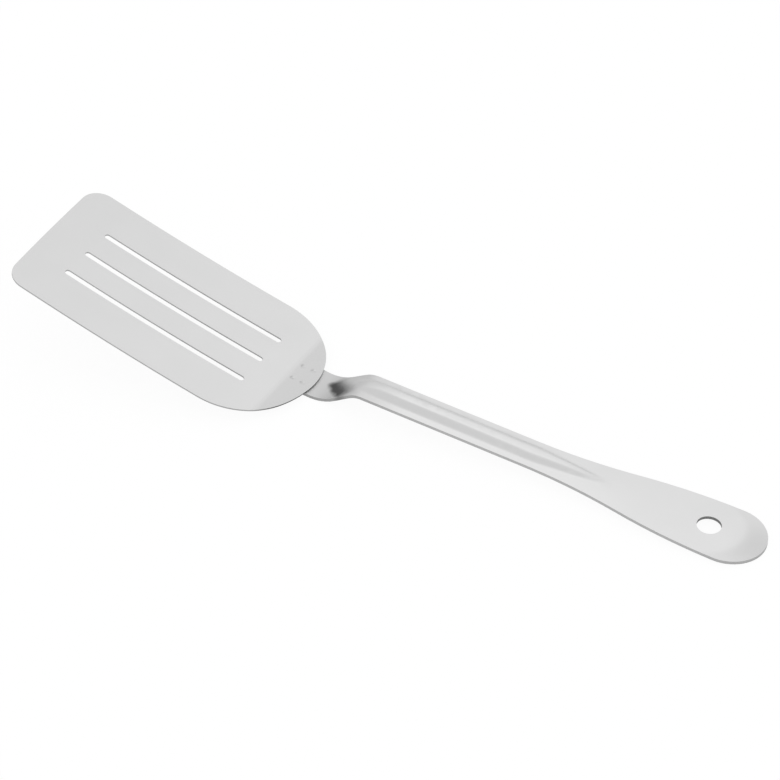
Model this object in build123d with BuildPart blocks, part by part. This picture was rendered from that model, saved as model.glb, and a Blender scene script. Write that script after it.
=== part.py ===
from build123d import *
from math import acos, asin, atan2, cos, degrees, hypot, pi, radians, sin, sqrt
import os

# Fish spatula: a slotted sheet blade, spot welded on top of the tang of a pressed sheet handle.
# It rests on the bend under its heel and on the tip of its grip, with the blade's front edge raised.
# Millimetres and degrees. +X runs from the blade to the grip, +Z is up, and the origin is on the
# table under the middle of the whole length.

# Blade sheet
blade_width = 76.2
blade_length = 145.4
blade_thickness = 0.8
front_corner_radius = 9.7
front_bulge = 0.5
front_skew = 2.0
heel_shoulder = 2.5
heel_flattening = 14.8
heel_skew = 4.9
bow_radius = 1400.0
heel_flat = 13.0
heel_pitch = 8.8
heel_crease = 3.6

# Drain slots, square to the blade's length
slot_count = 3
slot_pitch = 15.8
slot_width = 2.9
slot_setback = 20.6
slot_heel_setback = 26.4

# Handle sheet and its side profile, with radii on the upper face
handle_thickness = 1.5
handle_offset = 4.5
handle_reach = 215.55
tang_overlap = 14.4
heel_setback = 0.35
lower_bend_radius = 19.5
riser_pitch = 30.9
riser_length = 9.3
hump_radius = 12.1

# Handle in plan, where the tang tapers until tang_taper_reach past the lower bend
tang_width = 19.2
tang_corner_radius = 3.0
tang_taper_reach = 21.5
shank_width = 16.6
grip_width = 33.2
flare_radius = 268.0

# Stiffening rib pressed up along the shank, placed along the strip from the riser's foot
rib_height = 2.3
rib_taper_height = 1.8
rib_width = 11.2
rib_top_width = 2.6
rib_tip_width = 4.0
rib_start = 3.0
rib_full = 25.0
rib_taper = 101.0
rib_end = 133.0

# Crown across the strip, rising to the lip that falls off beyond lip_radius from the hanging hole
shank_crown = 0.35
grip_crown = 0.5
lip_crown = 0.95
lip_radius = 16.0
lip_blend = 0.9

# Hanging hole
hole_radius = 5.35
hole_setback = 25.65

# Spot welds, and the marks that the welding tips leave on the blade
weld_radius = 1.5
weld_clearance = 0.05
weld_rise = 0.4
weld_depth = 0.6
weld_row_pitch = 5.2
weld_column_pitch = 9.4
weld_setback = 7.3
mark_radius = 8.0
mark_depth = 0.1

# Overrun of every cut past the sheet
overrun = 4.0

# Sections across the handle in each stretch from the riser's foot to the tip
riser_sections = 2
hump_sections = 5
swell_sections = 4
rib_sections = 8
taper_sections = 10
grip_sections = 6
lip_sections = 14

# Places across each section, as shares of its half width
across_shares = (0.06, 0.12, 0.18, 0.24, 0.3, 0.36, 0.43, 0.5, 0.58, 0.66, 0.74, 0.82, 0.91, 1.0)


def along(pitch):
    """Direction in the side view that falls towards the grip by pitch degrees."""
    return Vector(cos(radians(pitch)), -sin(radians(pitch)))


def upward(pitch):
    """Direction in the side view square to along(pitch)."""
    return Vector(sin(radians(pitch)), cos(radians(pitch)))


def face_plane(point, pitch, y):
    """Plane at a point of the side view, lying along(pitch) and facing upward(pitch)."""
    x_dir = (along(pitch).X, 0, along(pitch).Y)
    z_dir = (upward(pitch).X, 0, upward(pitch).Y)
    return Plane(origin=(point.X, y, point.Y), x_dir=x_dir, z_dir=z_dir)


def smooth(share):
    """Ramp from 0 to 1 with level ends."""
    clipped = min(max(share, 0), 1)
    return clipped * clipped * (3 - 2 * clipped)


# The blade's chord runs from the heel to the front edge
bow_turn = degrees((blade_length - heel_flat) / bow_radius)
bow_pitch = heel_pitch + heel_crease
chord_pitch = bow_pitch + bow_turn / 2

# The lower bend rests on the table, placed so that the whole length is centred on the origin
heel_reach = lower_bend_radius * sin(radians(heel_pitch)) + heel_setback
front_reach = heel_reach + (blade_length + front_skew - front_bulge) * cos(radians(chord_pitch))
bend_x = (front_reach - handle_reach) / 2
bend_centre = Vector(bend_x, handle_thickness + lower_bend_radius)

# The seat is the flat upper face of the tang, which the lower bend continues
seat_point = bend_centre - upward(heel_pitch) * lower_bend_radius
heel_point = seat_point - along(heel_pitch) * heel_setback
tang_point = heel_point - along(heel_pitch) * tang_overlap
seat = face_plane(seat_point, heel_pitch, handle_offset)
chord = face_plane(heel_point, chord_pitch, 0)

# The shank is the line that leaves the hump and brings the grip's tip to the table
riser_point = bend_centre - upward(-riser_pitch) * lower_bend_radius
hump_point = riser_point + along(-riser_pitch) * riser_length
hump_centre = hump_point - upward(-riser_pitch) * hump_radius
tip_point = Vector(bend_x + handle_reach, handle_thickness)
tip_span = tip_point - hump_centre
shank_pitch = degrees(asin(hump_radius / tip_span.length) - atan2(tip_span.Y, tip_span.X))
shank_point = hump_centre + upward(shank_pitch) * hump_radius
shank_start = riser_length + hump_radius * radians(riser_pitch + shank_pitch)
shank_length = (tip_point - shank_point).length

# In plan, two equal arcs widen the shank into the grip's round end
grip_radius = grip_width / 2
grip_centre_x = tip_point.X - grip_radius
flare_turn = degrees(acos(1 - (grip_width - shank_width) / (4 * flare_radius)))
flare_run = flare_radius * sin(radians(flare_turn))
flare_x = grip_centre_x - 2 * flare_run

hole_point = tip_point - along(shank_pitch) * hole_setback
lip_width = tip_point.X - hole_point.X - lip_radius


def edge_line(s):
    """Point and pitch of the handle's upper edge in the side view, s along it from the riser's foot."""
    if s < riser_length:
        return riser_point + along(-riser_pitch) * s, -riser_pitch
    if s < shank_start:
        pitch = degrees((s - riser_length) / hump_radius) - riser_pitch
        return hump_centre + upward(pitch) * hump_radius, pitch
    return shank_point + along(shank_pitch) * (s - shank_start), shank_pitch


def half_width(x):
    """Half width of the shank and grip in plan, without the round end."""
    if x < flare_x:
        return shank_width / 2
    if x < flare_x + flare_run:
        return shank_width / 2 + flare_radius - sqrt(flare_radius**2 - (x - flare_x) ** 2)
    back = max(grip_centre_x - x, 0)
    return grip_radius - flare_radius + sqrt(flare_radius**2 - back**2)


def rib_rise(s, y):
    """Height of the flat-topped rib at s along the strip and y off its middle."""
    taper = min(max((s - rib_taper) / (rib_end - rib_taper), 0), 1)
    fall = min(max((s - rib_full) / (rib_taper - rib_full), 0), 1)
    height = rib_height + (rib_taper_height - rib_height) * fall
    height = height * smooth((s - rib_start) / (rib_full - rib_start)) * (1 - taper**2)
    half = (rib_width + (rib_tip_width - rib_width) * taper) / 2
    flat = rib_top_width * (1 - taper) / 2
    flank = min(max((abs(y) - flat) / (half - flat), 0), 1)
    return height * (1 + cos(pi * flank)) / 2


def lip_share(reach):
    """Share of the crown left at reach from the hanging hole."""
    past = reach - lip_radius
    ramp = (past + sqrt(past**2 + lip_blend**2)) / 2
    return 1 - ramp / lip_width


def rise(s, y):
    """Height of the handle's upper face above its edge line."""
    x = edge_line(s)[0].X
    past_hole = max(x - hole_point.X, 0)
    crown = shank_crown * smooth(s / rib_full)
    crown += (grip_crown - shank_crown) * smooth((s - rib_taper) / (rib_end - rib_taper))
    crown += (lip_crown - grip_crown) * smooth(past_hole / lip_radius)
    arch = 1 - (y / half_width(x)) ** 2
    return crown * arch * lip_share(hypot(past_hole, y)) + rib_rise(s, y)


def face_points(s, depth):
    """Points across the strip at s, depth below its upper face."""
    half = half_width(edge_line(s)[0].X) + overrun
    shares = [-share for share in reversed(across_shares)] + [0, *across_shares]
    step = overrun / 100
    points = []
    for y in [share * half for share in shares]:
        slope = (rise(s, y + step) - rise(s, y - step)) / (2 * step)
        points.append(Vector(y, rise(s, y)) - Vector(-slope, 1).normalized() * depth)
    return points


def stretch(start, end, count):
    """Evenly spaced stations from start up to, but without, end."""
    return [start + (end - start) * i / count for i in range(count)]


lip_start = shank_start + shank_length - grip_radius
tip_end = shank_start + shank_length + overrun
stations = stretch(0, riser_length, riser_sections)
stations += stretch(riser_length, shank_start, hump_sections)
stations += stretch(shank_start, rib_full, swell_sections)
stations += stretch(rib_full, rib_taper, rib_sections)
stations += stretch(rib_taper, rib_end, taper_sections)
stations += stretch(rib_end, lip_start, grip_sections)
stations += stretch(lip_start, tip_end, lip_sections) + [tip_end]

# Blade outline on the chord plane, from the heel's edge at zero to the skewed front edge
heel_corner_radius = blade_width / 2 - heel_shoulder
heel_crown_radius = blade_width / 2 + heel_flattening
heel_side_x = sqrt(heel_crown_radius**2 - (blade_width / 2) ** 2) - heel_crown_radius
front_near = (front_bulge + front_skew - blade_length, -blade_width / 2)
front_far = (front_bulge - front_skew - blade_length, blade_width / 2)
heel_near = (heel_side_x - heel_skew, -blade_width / 2)
heel_far = (heel_side_x + heel_skew, blade_width / 2)
slot_length = blade_length - slot_setback - slot_heel_setback
slot_middle = (slot_setback + slot_length / 2 - blade_length, 0)

# Blade side view: a flat heel on the seat, a faint crease, and a long shallow bow to the front
heel_end = heel_point + along(heel_pitch) * overrun
heel_top = heel_end + upward(heel_pitch) * blade_thickness
crease_point = heel_point - along(heel_pitch) * heel_flat
bow_cut = bow_turn + degrees(overrun / bow_radius)
front_pitch = bow_pitch + bow_cut

# Welds stand on the seat, in rows across the tang
weld_middle = (-heel_setback - weld_setback, 0)
weld_spots = GridLocations(weld_row_pitch, weld_column_pitch, 2, 2)
weld_places = [Location(weld_middle) * spot for spot in weld_spots.local_locations]

with BuildPart() as blade:
    with BuildSketch(chord) as blade_outline:
        with BuildLine():
            ThreePointArc(front_near, (-blade_length, 0), front_far)
            Line(front_far, heel_far)
            ThreePointArc(heel_far, (0, 0), heel_near)
            Line(heel_near, front_near)
        make_face()
        fillet(blade_outline.vertices().sort_by(Axis.X)[:2], radius=front_corner_radius)
        fillet(blade_outline.vertices().sort_by(Axis.X)[-2:], radius=heel_corner_radius)
    extrude(amount=blade_width, both=True)
    with BuildSketch(Plane.XZ):
        with BuildLine():
            Line(heel_end, crease_point)
            under = JernArc(crease_point, -along(bow_pitch), bow_radius + blade_thickness, -bow_cut)
            front = Line(under @ 1, under @ 1 + upward(front_pitch) * blade_thickness)
            top = JernArc(front @ 1, along(front_pitch), bow_radius, bow_cut)
            Line(top @ 1, heel_top)
            Line(heel_top, heel_end)
        make_face()
    extrude(amount=blade_width, both=True, mode=Mode.INTERSECT)
    with BuildSketch(chord):
        with Locations(slot_middle):
            with GridLocations(slot_pitch, slot_pitch, 1, slot_count):
                SlotOverall(slot_length, slot_width)
    extrude(amount=blade_width, both=True, mode=Mode.SUBTRACT)
    with BuildSketch(seat):
        with Locations(*weld_places):
            Circle(weld_radius + weld_clearance)
    extrude(amount=weld_rise, mode=Mode.SUBTRACT)
    with Locations(seat.offset(blade_thickness + mark_radius - mark_depth)):
        with Locations(*weld_places):
            Sphere(mark_radius, mode=Mode.SUBTRACT)

# Handle: the tang and the lower bend are one flat strip, and the rest is lofted through its sections
tang_under = tang_point - upward(heel_pitch) * handle_thickness
riser_under = riser_point - upward(-riser_pitch) * handle_thickness
under_radius = lower_bend_radius + handle_thickness
bend_turn = heel_pitch + riser_pitch
tang_x = tang_point.X
taper_end = (bend_x + tang_taper_reach, shank_width / 2)
hole_plane = face_plane(hole_point, shank_pitch, handle_offset)
handle_side = Plane.XZ.offset(-handle_offset)
handle_plan = Plane(origin=(0, handle_offset, 0))

with BuildPart() as handle:
    with BuildSketch(handle_side):
        with BuildLine():
            Line(tang_point, seat_point)
            JernArc(seat_point, along(heel_pitch), lower_bend_radius, bend_turn)
            Line(riser_point, riser_under)
            bend_under = JernArc(riser_under, -along(-riser_pitch), under_radius, -bend_turn)
            Line(bend_under @ 1, tang_under)
            Line(tang_under, tang_point)
        make_face()
    extrude(amount=half_width(bend_x) + overrun, both=True)
    for s in stations:
        point, pitch = edge_line(s)
        forward = (along(pitch).X, 0, along(pitch).Y)
        station = Plane(origin=(point.X, handle_offset, point.Y), x_dir=(0, 1, 0), z_dir=forward)
        with BuildSketch(station):
            with BuildLine():
                upper = Spline(*face_points(s, 0))
                lower = Spline(*face_points(s, handle_thickness))
                Line(upper @ 0, lower @ 0)
                Line(upper @ 1, lower @ 1)
            make_face()
    loft()
    with BuildSketch(handle_plan) as handle_outline:
        with BuildLine():
            Line((tang_x, 0), (tang_x, tang_width / 2))
            Line((tang_x, tang_width / 2), taper_end)
            shank = Line(taper_end, (flare_x, shank_width / 2))
            flare = JernArc(shank @ 1, (1, 0), flare_radius, flare_turn)
            swell = JernArc(flare @ 1, flare % 1, flare_radius, -flare_turn)
            JernArc(swell @ 1, (1, 0), grip_radius, -90)
            mirror(about=Plane.XZ)
        make_face()
        fillet(handle_outline.vertices().group_by(Axis.X)[0], radius=tang_corner_radius)
    extrude(amount=handle_reach, both=True, mode=Mode.INTERSECT)
    with BuildSketch(seat):
        with Locations(*weld_places):
            Circle(weld_radius + weld_clearance)
    extrude(amount=-weld_depth, mode=Mode.SUBTRACT)
    with BuildSketch(hole_plane):
        Circle(hole_radius)
    extrude(amount=overrun, both=True, mode=Mode.SUBTRACT)

# Spot welds: one nugget fills each pair of facing recesses
with BuildPart() as spot_welds:
    with BuildSketch(seat.offset(-weld_depth)):
        with Locations(*weld_places):
            Circle(weld_radius)
    extrude(amount=weld_depth + weld_rise)

os.makedirs("parts", exist_ok=True)
blade.part.label = "blade"
export_step(blade.part, "parts/blade.step")
handle.part.label = "handle"
export_step(handle.part, "parts/handle.step")
spot_welds.part.label = "spot_welds"
export_step(spot_welds.part, "parts/spot_welds.step")
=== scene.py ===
import bpy
from math import radians
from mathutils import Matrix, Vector

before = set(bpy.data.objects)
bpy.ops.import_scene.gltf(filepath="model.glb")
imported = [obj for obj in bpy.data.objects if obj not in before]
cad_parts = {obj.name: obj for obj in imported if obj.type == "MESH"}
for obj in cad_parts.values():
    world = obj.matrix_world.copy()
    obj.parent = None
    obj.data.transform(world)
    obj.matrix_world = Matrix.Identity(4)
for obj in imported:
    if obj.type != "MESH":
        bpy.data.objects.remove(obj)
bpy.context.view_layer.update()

# Lengths are metres and angles degrees. A ramp is four numbers: a place, a second place, and the
# value at each.

# Camera, level and aimed along the photograph's axis
CAMERA_PLACE = (0.42607, -0.73732, 0.72060)
CAMERA_DIP = 39.584
CAMERA_TURN = 29.891
CAMERA_LENS = 115.8
CAMERA_SENSOR = 36.0
CAMERA_CLIP = (0.05, 20.0)

# Steel: tone, roughness, depth of the grain, and the share of the tone left on cut edges, darker partly
# as duller sheared steel and partly as painted dark reflection
BLADE_STEEL = ((0.83, 0.83, 0.83), 0.25, 0.000002, 0.68)
HANDLE_STEEL = ((0.83, 0.83, 0.83), 0.29, 0.000001, 0.74)
WELD_STEEL = ((0.61, 0.61, 0.61), 0.42, 0.000004, 1.0)

# Grain along the sheet and soft mottling, as cells per metre, and how much they change
GRAIN_CELLS = (90.0, 3200.0, 3200.0)
GRAIN_ROUGH = 0.05
CLOUD_CELLS = (38.0, 46.0, 46.0)
CLOUD_RAMP = (0.3, 0.7, 0.985, 1.0)

# A face counts as a cut edge where its normal's Z is small, and is rougher there
FLAT_RAMP = (0.45, 0.65)
EDGE_ROUGH = 0.2

# The painted dark reflection, the painted shade on the lip and the weld marks are kept off the underside
# by a ramp of the normal's Z
TOP_RAMP = (-0.4, -0.1)

# Painted shade on the blade's heel and over its crease, and on the tang and lower bend near the heel, as
# ramps along X
BLADE_HEEL_SHADE = (-0.0530, -0.0490, 1.0, 0.865)
CREASE_SHADE = (-0.0514, -0.0508, 1.0, 0.965)
TANG_SHADE = (-0.028, -0.004, 0.90, 1.0)

# Share of the tone on the blade's edge, with a painted shadow darkening it at the heel where it lies
# over the tang, as a ramp along X
HEEL_EDGE_SHADOW = (-0.052, -0.043, 1.0, 0.35)

# Extra roughness of the bends, as a ramp along X
HUMP_ROUGH = (-0.010, 0.012, 0.19, 0.0)

# Painted dark reflection slanting over the lower bend and the riser's foot, with a wavering rim
DARK_REFLECTION_PLACE = (-0.0275, 0.0035, 0.0)
DARK_REFLECTION_ALONG = (0.73, -0.684, 0.0)
DARK_REFLECTION_ACROSS = (0.684, 0.73, 0.0)
DARK_REFLECTION_ALONG_RAMPS = ((-0.008, -0.0045), (0.0055, 0.0132, 1.0, 0.0))
DARK_REFLECTION_ACROSS_RAMPS = ((-0.0039, -0.0009), (0.0002, 0.0083, 1.0, 0.0))
DARK_REFLECTION_CELLS = (260.0, 260.0, 260.0)
DARK_REFLECTION_WAVER = 0.002
DARK_REFLECTION_SHARE = 0.86

# Painted shade on the lip beyond the hanging hole and on the hole's wall, as ramps out from the hole's
# middle
HOLE_PLACE = (0.15473, 0.0045, 0.0024)
LIP_START = (0.0, 0.009)
LIP_REACH = (0.0145, 0.0175)
LIP_SHADE = 0.04
HOLE_WALL_SHADE = (0.0065, 0.0085, 0.45, 1.0)

# Faint scorch in the four dimples over the welds, set out evenly from their middle
WELD_MIDDLE = (-0.04574, 0.0045)
WELD_REACH = (0.00257, 0.0047)
MARK_RAMP = (0.0006, 0.0019, 1.0, 0.0)
MARK_CELLS = (900.0, 900.0, 900.0)
MARK_PATCH = (0.42, 0.62)
MARK_SHARE = 0.16

# Studio: a plain level, and soft lobes given by direction, ramp and amount
ROOM_LEVEL = 0.73
LEFT = (-1.0, 0.0, 0.0)
UPPER = ((0.0, 0.6, 0.8), (0.6, 0.97))
BOX_RAMP = (0.03, 0.13)
BOX_LIFT = 0.19
CORE = ((-0.45, 0.45, 0.77), (0.94, 0.99))
CORE_LIFT = 0.15
EDGE_RAMP = (0.29, 0.40)
EDGE_DROP = -0.12
END = ((-0.75, 0.66, 0.0), (0.8, 0.97))
END_DROP = -0.14

# Floor: white to the camera but for a faint shadow, and part of that white in the steel
WHITE = (1.0, 1.0, 1.0, 1.0)
FLOOR_SIZE = 6.0
FLOOR_TONE = (0.9, 0.9, 0.9, 1.0)
FLOOR_GLOW = 1.045
FLOOR_GLOW_SHARE = 0.88
FLOOR_GLOSS_SHARE = 0.3


def new_material(name):
    """Empty node material."""
    material = bpy.data.materials.new(name)
    material.use_nodes = True
    material.node_tree.nodes.clear()
    return material


class Nodes:
    """Short calls for adding and joining nodes in one tree."""

    def __init__(self, tree):
        self.tree = tree

    def add(self, kind, inputs=None, **settings):
        node = self.tree.nodes.new(kind)
        for key, value in settings.items():
            setattr(node, key, value)
        for key, value in (inputs or {}).items():
            self.feed(node.inputs[key], value)
        return node

    def feed(self, socket, value):
        if isinstance(value, bpy.types.NodeSocket):
            self.tree.links.new(value, socket)
        else:
            socket.default_value = value

    def math(self, operation, first, second=0.0, third=0.0):
        inputs = {0: first, 1: second, 2: third}
        return self.add("ShaderNodeMath", inputs, operation=operation).outputs[0]

    def product(self, first, *others):
        for other in others:
            first = self.math("MULTIPLY", first, other)
        return first

    def ramp(self, value, low, high, to_low=0.0, to_high=1.0):
        inputs = {"Value": value, "From Min": low, "From Max": high, "To Min": to_low, "To Max": to_high}
        node = self.add("ShaderNodeMapRange", inputs, interpolation_type="SMOOTHSTEP", clamp=True)
        return node.outputs["Result"]

    def vector(self, operation, first, second=None, output="Vector"):
        inputs = {0: first} if second is None else {0: first, 1: second}
        return self.add("ShaderNodeVectorMath", inputs, operation=operation).outputs[output]

    def dot(self, vector, direction):
        return self.vector("DOT_PRODUCT", vector, Vector(direction).normalized(), "Value")

    def length(self, vector):
        return self.vector("LENGTH", vector, output="Value")

    def parts(self, vector):
        return self.add("ShaderNodeSeparateXYZ", {0: vector}).outputs

    def noise(self, vector, scale, detail=3.0):
        mapping = self.add("ShaderNodeMapping", {"Vector": vector, "Scale": scale})
        inputs = {"Vector": mapping.outputs[0], "Scale": 1.0, "Detail": detail}
        return self.add("ShaderNodeTexNoise", inputs).outputs["Fac"]

    def edge(self, flat, share):
        """Share on cut edges, and one on the sheet's faces."""
        return self.ramp(flat, 0.0, 1.0, share, 1.0)


def painted_dark_reflection(nodes, place, top):
    """Share of the tone left by the painted dark reflection: a soft band with a wavering rim."""
    waver = nodes.noise(place, DARK_REFLECTION_CELLS, 2.0)
    shift = nodes.math("MULTIPLY_ADD", waver, DARK_REFLECTION_WAVER, -DARK_REFLECTION_WAVER / 2)
    off = nodes.vector("SUBTRACT", place, DARK_REFLECTION_PLACE)
    along = nodes.math("ADD", nodes.dot(off, DARK_REFLECTION_ALONG), shift)
    across = nodes.math("ADD", nodes.dot(off, DARK_REFLECTION_ACROSS), shift)
    ends = [nodes.ramp(along, *ramp) for ramp in DARK_REFLECTION_ALONG_RAMPS]
    sides = [nodes.ramp(across, *ramp) for ramp in DARK_REFLECTION_ACROSS_RAMPS]
    # Mask of the painted dark reflection
    mask = nodes.product(*ends, *sides, top)
    return nodes.math("MULTIPLY_ADD", mask, -DARK_REFLECTION_SHARE, 1.0)


def lip_and_hole_shade(nodes, place, flat, top):
    """Share of the tone left by the painted shade on the lip beyond the hole and on the hole's wall."""
    off = nodes.vector("SUBTRACT", place, HOLE_PLACE)
    reach = nodes.length(off)
    past = nodes.ramp(nodes.parts(off)["X"], *LIP_START)
    # Painted shade on the lip past the hole
    painted_shade = nodes.product(past, nodes.ramp(reach, *LIP_REACH), top)
    share = nodes.math("MULTIPLY_ADD", painted_shade, -LIP_SHADE, 1.0)
    # Painted shade on the hole's wall
    return nodes.product(share, nodes.edge(flat, nodes.ramp(reach, *HOLE_WALL_SHADE)))


def weld_marks(nodes, place, top):
    """Share of the tone left by the faint scorch in each of the four dimples over the welds."""
    offsets = []
    for axis, middle, reach in zip("XY", WELD_MIDDLE, WELD_REACH):
        off = nodes.math("ABSOLUTE", nodes.math("SUBTRACT", nodes.parts(place)[axis], middle))
        offsets.append(nodes.math("SUBTRACT", off, reach))
    off = nodes.add("ShaderNodeCombineXYZ", {0: offsets[0], 1: offsets[1]}).outputs[0]
    patch = nodes.ramp(nodes.noise(place, MARK_CELLS, 2.0), *MARK_PATCH)
    mask = nodes.product(nodes.ramp(nodes.length(off), *MARK_RAMP), patch, top)
    return nodes.math("MULTIPLY_ADD", mask, -MARK_SHARE, 1.0)


def blade_shade_and_weld_marks(nodes, place, flat, top, x):
    """Share of the tone left on the blade by the painted shade on the heel and over its crease, the
    painted shadow on the heel's edge, and the weld marks.
    """
    # Painted shade on the heel and over its crease
    painted_shade = nodes.product(nodes.ramp(x, *BLADE_HEEL_SHADE), nodes.ramp(x, *CREASE_SHADE))
    # Painted shadow on the heel's edge where it lies over the tang
    heel = nodes.edge(flat, nodes.ramp(x, *HEEL_EDGE_SHADOW))
    return nodes.product(painted_shade, weld_marks(nodes, place, top), heel)


def handle_painted_shade_and_reflection(nodes, place, flat, top, x):
    """Share of the tone left on the handle by the painted shade on the tang, the painted dark reflection
    over the lower bend, and the painted shade on the lip and the hole's wall.
    """
    lip = lip_and_hole_shade(nodes, place, flat, top)
    # Painted shade on the tang near the heel, times the painted dark reflection and the painted shade on
    # the lip and hole wall
    return nodes.product(nodes.ramp(x, *TANG_SHADE), painted_dark_reflection(nodes, place, top), lip)


def steel(name, look, shade_and_marks=None, rough_ramp=None):
    """Satin steel with fine lengthwise grain, soft mottling, and rougher cut edges, darker partly as
    duller sheared steel and partly as painted dark reflection.
    """
    tone, roughness, grain_depth, edge_share = look
    material = new_material(name)
    nodes = Nodes(material.node_tree)
    place = nodes.add("ShaderNodeTexCoord").outputs["Object"]
    normal = nodes.add("ShaderNodeNewGeometry").outputs["Normal"]
    slope = nodes.parts(normal)["Z"]
    flat = nodes.ramp(nodes.math("ABSOLUTE", slope), *FLAT_RAMP)
    top = nodes.ramp(slope, *TOP_RAMP)
    x = nodes.parts(place)["X"]
    grain = nodes.noise(place, GRAIN_CELLS)
    cloud = nodes.noise(place, CLOUD_CELLS, 2.0)
    # Cut edges darker: partly duller sheared steel, partly painted dark reflection
    level = nodes.product(nodes.ramp(cloud, *CLOUD_RAMP), nodes.edge(flat, edge_share))
    # Painted shade, shadow and dark reflection, with the weld marks on the blade, darken the tone here
    if shade_and_marks:
        level = nodes.product(level, shade_and_marks(nodes, place, flat, top, x))
    scale = nodes.add("ShaderNodeCombineXYZ", {0: level, 1: level, 2: level}).outputs[0]
    rough = nodes.math("MULTIPLY_ADD", grain, GRAIN_ROUGH, roughness - GRAIN_ROUGH / 2)
    rough = nodes.math("ADD", rough, nodes.ramp(flat, 0.0, 1.0, EDGE_ROUGH, 0.0))
    if rough_ramp:
        rough = nodes.math("ADD", rough, nodes.ramp(x, *rough_ramp))
    bump = nodes.add("ShaderNodeBump", {"Height": grain, "Distance": grain_depth, "Strength": 1.0})
    inputs = {"Base Color": nodes.vector("MULTIPLY", tone, scale), "Roughness": rough}
    inputs |= {"Metallic": 1.0, "Normal": bump.outputs[0]}
    shader = nodes.add("ShaderNodeBsdfPrincipled", inputs)
    nodes.add("ShaderNodeOutputMaterial", {"Surface": shader.outputs[0]})
    return material


def dress(node, material):
    """Give a CAD node the material."""
    mesh = bpy.data.objects[node].data
    mesh.materials.clear()
    mesh.materials.append(material)


def studio():
    """White to the camera, and to the steel a soft bright box above and behind on the left."""
    world = bpy.data.worlds.new("studio")
    bpy.context.scene.world = world
    world.use_nodes = True
    world.node_tree.nodes.clear()
    nodes = Nodes(world.node_tree)
    direction = nodes.add("ShaderNodeTexCoord").outputs["Generated"]
    left = nodes.dot(direction, LEFT)
    upper, core, end = [nodes.ramp(nodes.dot(direction, way), *ramp) for way, ramp in (UPPER, CORE, END)]
    box = nodes.product(nodes.ramp(left, *BOX_RAMP), upper)
    edge = nodes.product(nodes.ramp(left, *EDGE_RAMP), upper)
    level = ROOM_LEVEL
    for lobe, amount in ((box, BOX_LIFT), (core, CORE_LIFT), (edge, EDGE_DROP), (end, END_DROP)):
        level = nodes.math("MULTIPLY_ADD", lobe, amount, level)
    seen = nodes.add("ShaderNodeLightPath").outputs["Is Camera Ray"]
    room = nodes.add("ShaderNodeBackground", {"Color": WHITE, "Strength": level})
    white = nodes.add("ShaderNodeBackground", {"Color": WHITE, "Strength": 1.0})
    mix = nodes.add("ShaderNodeMixShader", {0: seen, 1: room.outputs[0], 2: white.outputs[0]})
    nodes.add("ShaderNodeOutputWorld", {"Surface": mix.outputs[0]})


def floor():
    """Pale floor that keeps a faint shadow."""
    bpy.ops.mesh.primitive_plane_add(size=FLOOR_SIZE)
    plane = bpy.context.object
    plane.name = "floor"
    material = new_material("floor_pale")
    nodes = Nodes(material.node_tree)
    matt = nodes.add("ShaderNodeBsdfDiffuse", {"Color": FLOOR_TONE})
    glow = nodes.add("ShaderNodeEmission", {"Color": WHITE, "Strength": FLOOR_GLOW})
    path = nodes.add("ShaderNodeLightPath").outputs
    share = nodes.product(path["Is Camera Ray"], FLOOR_GLOW_SHARE)
    share = nodes.math("MULTIPLY_ADD", path["Is Glossy Ray"], FLOOR_GLOSS_SHARE, share)
    mix = nodes.add("ShaderNodeMixShader", {0: share, 1: matt.outputs[0], 2: glow.outputs[0]})
    nodes.add("ShaderNodeOutputMaterial", {"Surface": mix.outputs[0]})
    plane.data.materials.append(material)


def camera():
    """The photograph's viewpoint."""
    data = bpy.data.cameras.new("camera")
    data.sensor_width = CAMERA_SENSOR
    data.lens = CAMERA_LENS
    data.clip_start, data.clip_end = CAMERA_CLIP
    item = bpy.data.objects.new("camera", data)
    item.location = CAMERA_PLACE
    item.rotation_euler = (radians(90.0 - CAMERA_DIP), 0.0, radians(CAMERA_TURN))
    bpy.context.scene.collection.objects.link(item)
    bpy.context.scene.camera = item


dress("blade", steel("blade_satin", BLADE_STEEL, blade_shade_and_weld_marks))
dress("handle", steel("handle_satin", HANDLE_STEEL, handle_painted_shade_and_reflection, HUMP_ROUGH))
dress("spot_welds", steel("weld_dull", WELD_STEEL))
studio()
floor()
camera()
bpy.context.scene.view_settings.view_transform = "Standard"
